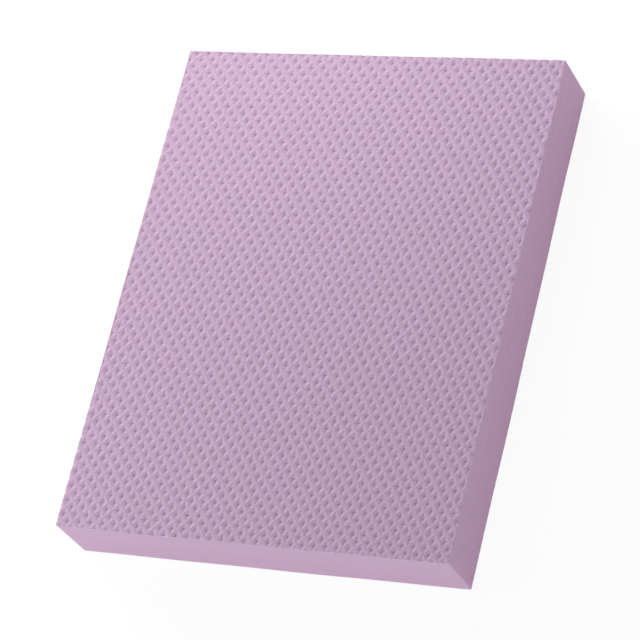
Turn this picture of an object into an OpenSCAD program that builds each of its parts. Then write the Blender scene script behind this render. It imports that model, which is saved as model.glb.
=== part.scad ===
// Balance pad: a slab of closed-cell foam, built up from bonded sheets.
// Units are millimetres. The origin is the centre of the underside, and +Z points up.
// X runs across the pad, Y along it, and Z through its thickness.

/* [Pad] */
// Width of the pad, its shorter side
pad_w = 310; // [200:1:500]
// Length of the pad, its longer side
pad_l = 397; // [250:1:600]
// Radius of the four upright corners
corner_r = 1; // [1:0.5:40]

/* [Sheets] */
// Thickness of the embossed sheet that the foot stands on
tread_t = 6; // [4:0.5:12]
// Thickness of each plain sheet in the core
core_t = 9.5; // [3:0.5:20]
// How many plain sheets make up the core
core_sheets = 4; // [1:1:6]
// Thickness of the embossed sheet that lies on the floor
base_t = 6; // [4:0.5:12]

/* [Edges] */
// Rounding of the tread sheet's upper edge
top_edge_r = 0.4; // [0.2:0.1:0.9]
// Rounding of the base sheet's lower edge
bottom_edge_r = 0.8; // [0.2:0.1:0.9]
// Rounding of each sheet's edge along a bonded joint
joint_edge_r = 0.2; // [0.1:0.05:0.4]

/* [Hidden] */
$fn = 64;
// a cut runs this far past the material that it takes away
cut_over = 1;
core_bottom = base_t;
tread_bottom = core_bottom + core_sheets * core_t;
foam_colour = [0.77, 0.66, 0.76];
core_colour = [0.75, 0.63, 0.74];

// What a rounding of radius r takes off an outer corner at [0, 0], for material in the -X, +Y quadrant
module corner_waste(r) {
    difference() {
        translate([-r, -cut_over])
            square([r + cut_over, r + cut_over]);
        translate([-r, r])
            circle(r);
    }
}

// Upright section through the outer band of a sheet, from the corner's centre line out to the wall
module edge_section(t, low_r, high_r) {
    difference() {
        square([corner_r, t]);
        translate([corner_r, 0])
            corner_waste(low_r);
        translate([corner_r, t])
            mirror([0, 1])
                corner_waste(high_r);
    }
}

// A straight stretch of the outer band, centred on X, with its wall facing -Y
module straight_band(length, t, low_r, high_r) {
    translate([-length / 2, 0, 0])
        rotate([90, 0, 90])
            mirror([1, 0, 0])
                linear_extrude(length)
                    edge_section(t, low_r, high_r);
}

// A sheet of the pad's full outline, with its lower and upper edges rounded all round
module sheet(t, low_r, high_r) {
    inner_w = pad_w - 2 * corner_r;
    inner_l = pad_l - 2 * corner_r;
    translate([-inner_w / 2, -inner_l / 2, 0])
        cube([inner_w, inner_l, t]);
    for (side = [0, 180]) {
        rotate([0, 0, side])
            translate([0, -inner_l / 2, 0])
                straight_band(inner_w, t, low_r, high_r);
        rotate([0, 0, side + 90])
            translate([0, -inner_w / 2, 0])
                straight_band(inner_l, t, low_r, high_r);
    }
    for (x = [-1, 1], y = [-1, 1])
        translate([x * inner_w / 2, y * inner_l / 2, 0])
            rotate_extrude()
                edge_section(t, low_r, high_r);
}

// Embossed sheet that lies on the floor
module base_sheet() {
    color(foam_colour)
        sheet(base_t, bottom_edge_r, joint_edge_r);
}

// One of the plain sheets between, counted from the floor up
module core_sheet(i) {
    color(core_colour)
        translate([0, 0, core_bottom + (i - 1) * core_t])
            sheet(core_t, joint_edge_r, joint_edge_r);
}

// Embossed sheet that the foot stands on
module tread_sheet() {
    color(foam_colour)
        translate([0, 0, tread_bottom])
            sheet(tread_t, joint_edge_r, top_edge_r);
}

base_sheet();
for (i = [1:core_sheets])
    core_sheet(i);
tread_sheet();
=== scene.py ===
"""Looks of the foam balance pad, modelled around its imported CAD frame.

Units are metres. X runs across the pad, Y along it, +Z is up, and the pad lies on the floor at Z = 0.
"""

import math

import bmesh
import bpy
import numpy as np
from mathutils import Matrix, Vector


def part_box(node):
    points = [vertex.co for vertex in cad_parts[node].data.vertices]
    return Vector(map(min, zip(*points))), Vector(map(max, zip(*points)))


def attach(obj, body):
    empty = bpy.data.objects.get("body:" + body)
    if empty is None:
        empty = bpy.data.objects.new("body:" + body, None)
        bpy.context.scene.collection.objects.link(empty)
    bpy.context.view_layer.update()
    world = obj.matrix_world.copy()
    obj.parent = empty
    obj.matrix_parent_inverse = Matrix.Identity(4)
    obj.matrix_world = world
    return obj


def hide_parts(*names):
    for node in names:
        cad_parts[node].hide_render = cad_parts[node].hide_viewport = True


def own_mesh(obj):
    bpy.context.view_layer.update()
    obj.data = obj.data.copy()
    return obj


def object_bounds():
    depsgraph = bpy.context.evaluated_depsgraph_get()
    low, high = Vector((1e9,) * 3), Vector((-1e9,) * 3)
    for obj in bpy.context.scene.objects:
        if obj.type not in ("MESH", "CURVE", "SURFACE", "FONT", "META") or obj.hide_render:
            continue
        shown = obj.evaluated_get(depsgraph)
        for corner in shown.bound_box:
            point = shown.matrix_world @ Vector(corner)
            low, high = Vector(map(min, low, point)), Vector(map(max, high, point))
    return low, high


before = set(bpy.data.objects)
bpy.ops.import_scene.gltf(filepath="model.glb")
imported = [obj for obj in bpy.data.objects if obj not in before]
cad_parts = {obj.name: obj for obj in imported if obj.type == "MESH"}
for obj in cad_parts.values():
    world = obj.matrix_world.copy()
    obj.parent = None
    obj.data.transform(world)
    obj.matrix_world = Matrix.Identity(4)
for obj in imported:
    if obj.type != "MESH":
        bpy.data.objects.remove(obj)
CAD_BOX = [list(corner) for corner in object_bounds()]

MM = 0.001

# ---------------------------------------------------------------- the pad's sizes, from the frame
PAD_LOW, PAD_HIGH = (Vector(corner) for corner in CAD_BOX)
HALF_W, HALF_L = PAD_HIGH.x, PAD_HIGH.y
TREAD_LOW, TREAD_HIGH = (corner.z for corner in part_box("tread_sheet"))
BASE_LOW, BASE_HIGH = (corner.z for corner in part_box("base_sheet"))
CORE_SHEETS = sorted(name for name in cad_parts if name.startswith("core_sheet"))

# ---------------------------------------------------------------- edges of the foam
CORNER_R = 1 * MM
TOP_EDGE_R = 0.4 * MM
BOTTOM_EDGE_R = 0.8 * MM
BOND_EDGE_R = 0.03 * MM  # the hairline left where two sheets are bonded
CORNER_STEPS = 6
WALL_STEP = 8 * MM  # how often a wall is divided, so that it can waver
WAVER = 0.2 * MM  # how far the hot-wire cut strays
WAVER_LENGTH = 90 * MM

# ---------------------------------------------------------------- the embossed pattern
# Pits sit on a staggered lattice: pit (i, j) is there where i + j is even, i counts half
# columns across the pad and j counts rows along it. Ridges run diagonally between them.
REACH = 30  # half columns, or rows, for which the spreads below are given
ACROSS = 143.4 * MM  # REACH half columns
ALONG = 182.4 * MM  # REACH rows
PATTERN_AT = Vector((-2.1 * MM, 1.1 * MM))
# The calendered sheet is stretched a little unevenly: its columns lean, bow and fan out, its
# rows tilt and bow, and both close up towards the edges.
COLUMN_LEAN = 8.4 * MM
COLUMN_FAN = 6.1 * MM
COLUMN_BOW = 0.7 * MM
COLUMN_CROWDING = 2.5 * MM
COLUMN_TWIST = 1.3 * MM
ROW_TILT = 0.9 * MM
ROW_FAN = 0.9 * MM
ROW_BOW = 0.7 * MM
ROW_SPREAD = 2.1 * MM
ROW_CROWDING = 4.6 * MM
ROW_TWIST = 0.9 * MM
PIT_DEPTH = 1.3 * MM
PIT_FUNNEL = 0.46  # the share of the depth that is in a narrow funnel at a pit's centre
FUNNEL_POWER = 5
CROSSING_DIP = 0.15 * MM  # how far the ridges sink where they cross
PIT_UNEVENNESS = 0.04  # the share by which one pit's depth strays from the others'
SKIN_ROUGHNESS = 0.12 * MM  # how far single points of the skin sink
EMBOSSING_SEED = 7
PIT_STEPS = (0, 0.14, 0.5, 0.86)  # mesh lines across half a column or a row
SLAB_MARGIN = 3 * MM
CREASE_ANGLE = math.radians(14)

# ---------------------------------------------------------------- the view
VIEW_AZIMUTH = math.radians(48.9)
VIEW_ELEVATION = math.radians(55.67)
VIEW_ROLL = math.radians(39.8)
VIEW_DISTANCE = 2.2954
VIEW_TARGET = Vector((0.0127, -0.0220, PAD_HIGH.z))
VIEW_LENS = 178.2
SENSOR = 36


def make_camera():
    """The camera looks down on the pad from its front right and is rolled clockwise."""
    a, e, r = VIEW_AZIMUTH, VIEW_ELEVATION, VIEW_ROLL
    back = Vector((math.sin(a) * math.cos(e), -math.cos(a) * math.cos(e), math.sin(e)))
    level = Vector((math.cos(a), math.sin(a), 0))
    upright = back.cross(level)
    right = level * math.cos(r) - upright * math.sin(r)
    up = level * math.sin(r) + upright * math.cos(r)
    data = bpy.data.cameras.new("camera")
    data.lens = VIEW_LENS
    data.sensor_width = SENSOR
    camera = bpy.data.objects.new("camera", data)
    bpy.context.scene.collection.objects.link(camera)
    turned = Matrix((right, up, back)).transposed().to_4x4()
    camera.matrix_world = Matrix.Translation(VIEW_TARGET + back * VIEW_DISTANCE) @ turned
    bpy.context.scene.camera = camera


make_camera()


# ---------------------------------------------------------------- mesh helpers
def mesh_object(name, points, faces):
    """A new object of those points and faces, linked to the scene."""
    mesh = bpy.data.meshes.new(name)
    mesh.from_pydata([tuple(p) for p in points], [], faces)
    mesh.validate()
    piece = bpy.data.objects.new(name, mesh)
    bpy.context.scene.collection.objects.link(piece)
    return piece


def rounded_outline(inset):
    """Points of the pad's outline, moved in by inset, anticlockwise from the right wall's front end."""
    r = CORNER_R - inset
    centre_x, centre_y = HALF_W - CORNER_R, HALF_L - CORNER_R
    corners = ((1, 1, 0), (-1, 1, 90), (-1, -1, 180), (1, -1, 270))
    arcs = []
    for sx, sy, start in corners:
        turn = np.radians(start + np.linspace(0, 90, CORNER_STEPS + 1))
        arcs.append(np.c_[sx * centre_x + r * np.cos(turn), sy * centre_y + r * np.sin(turn)])
    points = []
    for k, arc in enumerate(arcs):
        following = arcs[(k + 1) % len(arcs)]
        length = 2 * (centre_y if k % 2 else centre_x)
        parts = max(1, round(length / WALL_STEP))
        share = np.linspace(0, 1, parts + 1)[1:-1, None]
        points += [arc, arc[-1] + (following[0] - arc[-1]) * share]
    return np.concatenate(points)


def edge_rings(z_low, z_high, low_r, high_r, steps):
    """(inset, height) of each ring of a wall whose lower and upper edges are rounded."""
    turn = np.radians(np.linspace(0, 90, steps + 1))
    low = [(low_r * (1 - math.sin(t)), z_low + low_r * (1 - math.cos(t))) for t in turn]
    high = [(high_r * (1 - math.cos(t)), z_high - high_r * (1 - math.sin(t))) for t in turn]
    return low + high


def blank_sheet(name, z_low, z_high, low_r, high_r, steps=4):
    """A closed foam sheet of the pad's outline, plain on both faces."""
    rings = edge_rings(z_low, z_high, low_r, high_r, steps)
    loops = [rounded_outline(inset) for inset, _ in rings]
    count = len(loops[0])
    points = np.concatenate([np.c_[loop, np.full(count, z)] for loop, (_, z) in zip(loops, rings)])
    faces = [list(range(count))[::-1], [(len(rings) - 1) * count + k for k in range(count)]]
    for ring in range(len(rings) - 1):
        for k in range(count):
            near, far = ring * count, (ring + 1) * count
            following = (k + 1) % count
            faces.append((near + k, near + following, far + following, far + k))
    return mesh_object(name, points, faces)


# ---------------------------------------------------------------- the embossed faces
def sheet_point(i, j):
    """Where lattice point (i, j) lies on the unevenly stretched sheet."""
    u, v = i / REACH, j / REACH
    x = PATTERN_AT.x + ACROSS * u + COLUMN_LEAN * v + COLUMN_FAN * u * v + COLUMN_BOW * v * v
    y = PATTERN_AT.y + ALONG * v + ROW_TILT * u - ROW_FAN * u * v - ROW_BOW * u * u
    x += (COLUMN_TWIST * v - COLUMN_CROWDING) * u * u
    y += (ROW_SPREAD + ROW_TWIST * u) * v * v - ROW_CROWDING * v**3
    return x, y


def nearest_pit(i, j):
    """Lattice position of the pit that point (i, j) lies in."""
    column, row = np.floor(i), np.floor(j)
    x, y = i - column, j - row
    # a lattice square has pits at two opposite corners, and a ridge between them
    even = (column + row) % 2 == 0
    right = np.where(even, x + y > 1, x > y)
    upper = np.where(even, x + y > 1, x <= y)
    return (column + right).astype(int), (row + upper).astype(int)


def lattice_lines(lowest, highest):
    """Lattice positions of the mesh lines from one whole number to another."""
    return np.array([k + step for k in range(lowest, highest) for step in PIT_STEPS] + [highest])


def embossed_slab(name, ridge_z, back_z):
    """A closed slab, larger than the pad, embossed on its face at ridge_z and flat at back_z."""
    half_columns = math.ceil(REACH * (HALF_W + COLUMN_LEAN + COLUMN_FAN) / ACROSS) + 3
    half_rows = math.ceil(REACH * (HALF_L + ROW_CROWDING) / ALONG) + 3
    i, j = np.meshgrid(
        lattice_lines(-half_columns, half_columns), lattice_lines(-half_rows, half_rows), indexing="ij"
    )
    x, y = sheet_point(i, j)
    inwards = math.copysign(1, back_z - ridge_z)
    chance = np.random.default_rng(EMBOSSING_SEED)
    pit_i, pit_j = nearest_pit(i, j)
    evenness = chance.uniform(1 - PIT_UNEVENNESS, 1 + PIT_UNEVENNESS, (2 * half_columns + 2, 2 * half_rows + 2))
    pit_depth = PIT_DEPTH * evenness[pit_i + half_columns, pit_j + half_rows]
    slope = 1 - np.abs(i - pit_i) - np.abs(j - pit_j)  # 1 at a pit's deepest point, and 0 on a ridge
    depth = pit_depth * ((1 - PIT_FUNNEL) * slope + PIT_FUNNEL * slope**FUNNEL_POWER)
    crossing = np.maximum(0, -np.cos(np.pi * i) * np.cos(np.pi * j))
    roughness = chance.uniform(0, SKIN_ROUGHNESS, i.shape)
    z = ridge_z + inwards * (depth + CROSSING_DIP * crossing + roughness)
    points = np.stack([x, y, z], axis=-1).reshape(-1, 3)
    columns, rows = i.shape
    number = np.arange(columns * rows).reshape(columns, rows)
    a, b, c, d = number[:-1, :-1], number[1:, :-1], number[1:, 1:], number[:-1, 1:]
    # a quad is split along the ridge that runs through it
    rising = (np.floor(i[:-1, :-1]) + np.floor(j[:-1, :-1])) % 2 == 1
    split_ac = np.stack([np.stack([a, b, c], -1), np.stack([a, c, d], -1)], 2)
    split_bd = np.stack([np.stack([a, b, d], -1), np.stack([b, c, d], -1)], 2)
    faces = np.where(rising[:, :, None, None], split_ac, split_bd).reshape(-1, 3).tolist()
    rim = np.concatenate([number[:-1, 0], number[-1, :-1], number[:0:-1, -1], number[0, :0:-1]])
    back = points[rim] * (1, 1, 0) + (0, 0, back_z)
    first = len(points)
    count = len(rim)
    for k in range(count):
        following = (k + 1) % count
        faces.append((int(rim[following]), int(rim[k]), first + k, first + following))
    faces.append([first + k for k in range(count)][::-1])
    if inwards > 0:
        faces = [face[::-1] for face in faces]
    return mesh_object(name, np.concatenate([points, back]), faces)


def cut_to(piece, cutter):
    """piece keeps only what lies inside cutter, which is then removed."""
    modifier = piece.modifiers.new("cut", "BOOLEAN")
    modifier.operation = "INTERSECT"
    modifier.solver = "MANIFOLD"
    modifier.object = cutter
    whole = piece.evaluated_get(bpy.context.evaluated_depsgraph_get())
    cut = bpy.data.meshes.new_from_object(whole)
    piece.modifiers.clear()
    piece.data = cut
    bpy.data.objects.remove(cutter)


def embossed_sheet(name, z_low, z_high, low_r, high_r, embossed_top):
    """A sheet of the pad's outline whose upper or lower face is embossed right to its edges."""
    if embossed_top:
        slab = embossed_slab(name, z_high, z_low - SLAB_MARGIN)
    else:
        slab = embossed_slab(name, z_low, z_high + SLAB_MARGIN)
    cut_to(slab, blank_sheet(name + "_outline", z_low, z_high, low_r, high_r))
    ridge_z = z_high if embossed_top else z_low
    mark_pit_shade(slab, ridge_z)
    return slab


def mark_pit_shade(piece, ridge_z):
    """Stores how deep each point lies in its pit, from 0 on a ridge to 1, for the painted shade in the pits."""
    mesh = piece.data
    z = np.array([v.co.z for v in mesh.vertices])
    depth = np.clip(np.abs(z - ridge_z) / PIT_DEPTH, 0, 1)
    facing = np.abs(np.array([v.normal.z for v in mesh.vertices]))
    deepest = PIT_DEPTH * (1 + PIT_UNEVENNESS) + SKIN_ROUGHNESS
    inside = np.abs(z - ridge_z) < deepest
    pit_shade = mesh.attributes.new("pit_shade", "FLOAT", "POINT")
    pit_shade.data.foreach_set("value", np.where(inside, depth * facing, 0).astype(np.float32))


def finish_foam(piece):
    """Lets the cut walls waver a little, and shades the piece smooth between its hard edges."""
    mesh = piece.data
    for vertex in mesh.vertices:
        place = vertex.co / WAVER_LENGTH
        drift = Vector(
            (math.sin(2.1 * place.y + 1.3 * place.z) + math.sin(4.7 * place.y + 2.0),
             math.sin(1.9 * place.x + 1.7 * place.z + 1.0) + math.sin(5.3 * place.x), 0)
        )
        vertex.co -= WAVER / 2 * drift * Vector((vertex.co.x / HALF_W, vertex.co.y / HALF_L, 0)).length
    mesh.shade_smooth()
    mesh.set_sharp_from_angle(angle=CREASE_ANGLE)


# ---------------------------------------------------------------- materials
def srgb(r, g, b):
    """A colour given in 0 to 255, as Blender's linear values."""
    return tuple((c / 255 / 12.92 if c <= 10 else ((c / 255 + 0.055) / 1.055) ** 2.4) for c in (r, g, b)) + (1,)


class Nodes:
    """Short names for building the node tree of a material, or of the world."""

    def __init__(self, owner, out):
        owner.use_nodes = True
        self.owner = owner
        self.tree = owner.node_tree
        self.tree.nodes.clear()
        self.out = self.add(out)

    def add(self, kind, **settings):
        node = self.tree.nodes.new(kind)
        for key, value in settings.items():
            setattr(node, key, value)
        return node

    def link(self, a, b):
        self.tree.links.new(a, b)

    def noise(self, where, scale, detail=2.0, roughness=0.5):
        node = self.add("ShaderNodeTexNoise")
        node.inputs["Scale"].default_value = scale
        node.inputs["Detail"].default_value = detail
        node.inputs["Roughness"].default_value = roughness
        self.link(where, node.inputs["Vector"])
        return node.outputs["Fac"]

    def ramp(self, value, low, high, to_low=0.0, to_high=1.0):
        node = self.add("ShaderNodeMapRange")
        for key, number in zip(("From Min", "From Max", "To Min", "To Max"), (low, high, to_low, to_high)):
            node.inputs[key].default_value = number
        self.link(value, node.inputs["Value"])
        return node.outputs["Result"]

    def part(self, vector, axis):
        node = self.add("ShaderNodeSeparateXYZ")
        self.link(vector, node.inputs["Vector"])
        return node.outputs[axis]

    def grey(self, value):
        node = self.add("ShaderNodeCombineColor")
        for channel in node.inputs:
            self.link(value, channel)
        return node.outputs["Color"]

    def seen_rays(self):
        """1 for the rays that show a surface to the camera, straight or mirrored, and 0 for light."""
        path = self.add("ShaderNodeLightPath")
        seen = path.outputs["Is Camera Ray"]
        for kind in ("Is Glossy Ray", "Is Transmission Ray"):
            either = self.add("ShaderNodeMath", operation="MAXIMUM")
            self.link(seen, either.inputs[0])
            self.link(path.outputs[kind], either.inputs[1])
            seen = either.outputs["Value"]
        return seen

    def mix(self, share, a, b, mode="MIX"):
        node = self.add("ShaderNodeMix", data_type="RGBA", blend_type=mode)
        for socket, value in zip((node.inputs["Factor"], node.inputs[6], node.inputs[7]), (share, a, b)):
            if isinstance(value, (int, float, tuple)):
                socket.default_value = value
            else:
                self.link(value, socket)
        return node.outputs[2]


SKIN_COLOURS = srgb(206, 173, 204), srgb(204, 174, 203)
# painted shade: the cut foam's colour at the bottom of the pad, darker than at the top, stands in for shade
# near the floor
CUT_SHADED_LOW_COLOUR = srgb(201, 164, 196)
CUT_HIGH_COLOUR = srgb(203, 168, 199)
# painted shade: the dark colour that the deep points of the pits are painted towards
PIT_SHADE_COLOUR = srgb(150, 115, 148)


def foam_material(name, embossed):
    """Closed-cell elastomer foam: smooth deeper-coloured cut walls with painted shade that darkens them towards
    the bottom, and paler moulded skin if embossed, with painted shade in its pits.
    """
    n = Nodes(bpy.data.materials.new(name), "ShaderNodeOutputMaterial")
    where = n.add("ShaderNodeTexCoord").outputs["Object"]
    shader = n.add("ShaderNodeBsdfPrincipled")
    n.link(shader.outputs["BSDF"], n.out.inputs["Surface"])
    height = n.part(where, "Z")
    # painted shade: the cut foam is painted darker towards the bottom, as shade near the floor
    colour = n.mix(n.ramp(height, BASE_LOW, TREAD_HIGH), CUT_SHADED_LOW_COLOUR, CUT_HIGH_COLOUR)
    grain = n.noise(where, 900, 2, 0.7)
    if embossed:
        skin = n.mix(n.ramp(n.noise(where, 55, 2, 0.6), 0.3, 0.7), *SKIN_COLOURS)
        pit_shade = n.add("ShaderNodeAttribute", attribute_name="pit_shade").outputs["Fac"]
        # painted shade: the deep parts of the pits are painted darker, as shade in the hollows
        skin = n.mix(n.ramp(pit_shade, 0.2, 1.0, 0.0, 0.5), skin, PIT_SHADE_COLOUR)
        upright = n.part(n.add("ShaderNodeNewGeometry").outputs["True Normal"], "Z")
        level = n.add("ShaderNodeMath", operation="ABSOLUTE")
        n.link(upright, level.inputs[0])
        colour = n.mix(n.ramp(level.outputs["Value"], 0.2, 0.5), colour, skin)
        colour = n.mix(1.0, colour, n.grey(n.ramp(grain, 0.3, 0.7, 0.86, 1.14)), "MULTIPLY")
    n.link(colour, shader.inputs["Base Color"])
    n.link(n.ramp(n.noise(where, 220, 3, 0.6), 0.3, 0.7, 0.58, 0.7), shader.inputs["Roughness"])
    shader.inputs["Specular IOR Level"].default_value = 0.3
    shader.inputs["Sheen Weight"].default_value = 0.03
    shader.inputs["Sheen Roughness"].default_value = 0.5
    bump = n.add("ShaderNodeBump")
    bump.inputs["Strength"].default_value = 0.25
    bump.inputs["Distance"].default_value = 0.1 * MM
    n.link(grain, bump.inputs["Height"])
    n.link(bump.outputs["Normal"], shader.inputs["Normal"])
    return n.owner


def floor_material():
    """A pale matt floor: the camera sees it near white, with the pad's soft shadow kept."""
    n = Nodes(bpy.data.materials.new("floor"), "ShaderNodeOutputMaterial")
    diffuse = n.add("ShaderNodeBsdfDiffuse")
    diffuse.inputs["Color"].default_value = FLOOR_COLOUR
    glow = n.add("ShaderNodeEmission")
    glow.inputs["Strength"].default_value = FLOOR_GLOW
    seen_diffuse = n.add("ShaderNodeBsdfDiffuse")
    seen_diffuse.inputs["Color"].default_value = FLOOR_SEEN_COLOUR
    both = n.add("ShaderNodeAddShader")
    n.link(glow.outputs["Emission"], both.inputs[0])
    n.link(seen_diffuse.outputs["BSDF"], both.inputs[1])
    choice = n.add("ShaderNodeMixShader")
    n.link(n.seen_rays(), choice.inputs["Fac"])
    n.link(diffuse.outputs["BSDF"], choice.inputs[1])
    n.link(both.outputs["Shader"], choice.inputs[2])
    n.link(choice.outputs["Shader"], n.out.inputs["Surface"])
    return n.owner


# ---------------------------------------------------------------- the pieces
def dress(piece, slot, material, body, *nodes):
    """Finishes a foam piece, gives it its material and its body, and hides the CAD nodes that it stands for."""
    finish_foam(piece)
    piece.data.materials.clear()
    piece.data.materials.append(material)
    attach(piece, body)
    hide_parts(*nodes)
    return piece


embossed_foam = foam_material("embossed_foam", embossed=True)
core_foam = foam_material("core_foam", embossed=False)

tread = embossed_sheet("tread", TREAD_LOW, TREAD_HIGH, BOND_EDGE_R, TOP_EDGE_R, embossed_top=True)
dress(tread, "embossed_foam", embossed_foam, "tread", "tread_sheet")

underside = embossed_sheet("underside", BASE_LOW, BASE_HIGH, BOTTOM_EDGE_R, BOND_EDGE_R, embossed_top=False)
dress(underside, "embossed_foam", embossed_foam, "base", "base_sheet")

for node in CORE_SHEETS:
    low, high = (corner.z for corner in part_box(node))
    layer = blank_sheet(node.replace("sheet", "layer"), low, high, BOND_EDGE_R, BOND_EDGE_R)
    dress(layer, "core_foam", core_foam, "base", node)
    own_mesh(layer)

# ---------------------------------------------------------------- the studio
FLOOR_HALF = 6.0
FLOOR_COLOUR = (0.82, 0.82, 0.82, 1)
FLOOR_SEEN_COLOUR = (0.15, 0.15, 0.15, 1)
FLOOR_GLOW = 0.89
WORLD_LIGHT = 0.26


def make_floor():
    corners = [(-FLOOR_HALF, -FLOOR_HALF, 0), (FLOOR_HALF, -FLOOR_HALF, 0),
               (FLOOR_HALF, FLOOR_HALF, 0), (-FLOOR_HALF, FLOOR_HALF, 0)]
    floor = mesh_object("floor", corners, [(0, 1, 2, 3)])
    floor.data.materials.append(floor_material())


def make_world():
    """Even ambient light, and white where the camera sees past the floor."""
    n = Nodes(bpy.data.worlds.new("studio"), "ShaderNodeOutputWorld")
    light = n.add("ShaderNodeBackground")
    light.inputs["Color"].default_value = (1, 1, 1, 1)
    light.inputs["Strength"].default_value = WORLD_LIGHT
    white = n.add("ShaderNodeBackground")
    white.inputs["Color"].default_value = (1, 1, 1, 1)
    white.inputs["Strength"].default_value = 1
    choice = n.add("ShaderNodeMixShader")
    n.link(n.seen_rays(), choice.inputs["Fac"])
    n.link(light.outputs["Background"], choice.inputs[1])
    n.link(white.outputs["Background"], choice.inputs[2])
    n.link(choice.outputs["Shader"], n.out.inputs["Surface"])
    bpy.context.scene.world = n.owner


def soft_box(name, at, size, watts, colour=(1, 1, 1), aim=(0, 0, 0.03)):
    """A square area lamp at a point, turned to face aim."""
    data = bpy.data.lights.new(name, "AREA")
    data.shape = "SQUARE"
    data.size = size
    data.energy = watts
    data.color = colour
    lamp = bpy.data.objects.new(name, data)
    bpy.context.scene.collection.objects.link(lamp)
    lamp.location = at
    lamp.rotation_euler = (Vector(aim) - Vector(at)).to_track_quat("-Z", "Y").to_euler()


make_floor()
make_world()
soft_box("back_key", at=(-0.1, 0.5, 0.42), size=0.35, watts=1.65)
soft_box("left_key", at=(-1.73, 1.0, 0.5), size=0.8, watts=26.2)
soft_box("left_fill", at=(-0.55, -0.28, 0.33), size=0.3, watts=1.2)
soft_box("right_fill", at=(1.6, 0.3, 0.35), size=0.8, watts=4.9, colour=(1, 0.87, 0.95))
soft_box("front_fill", at=(0.5, -2.0, 0.5), size=0.8, watts=18.8, colour=(0.93, 1, 0.965))

scene = bpy.context.scene
scene.view_settings.view_transform = "Standard"

bpy.context.view_layer.update()
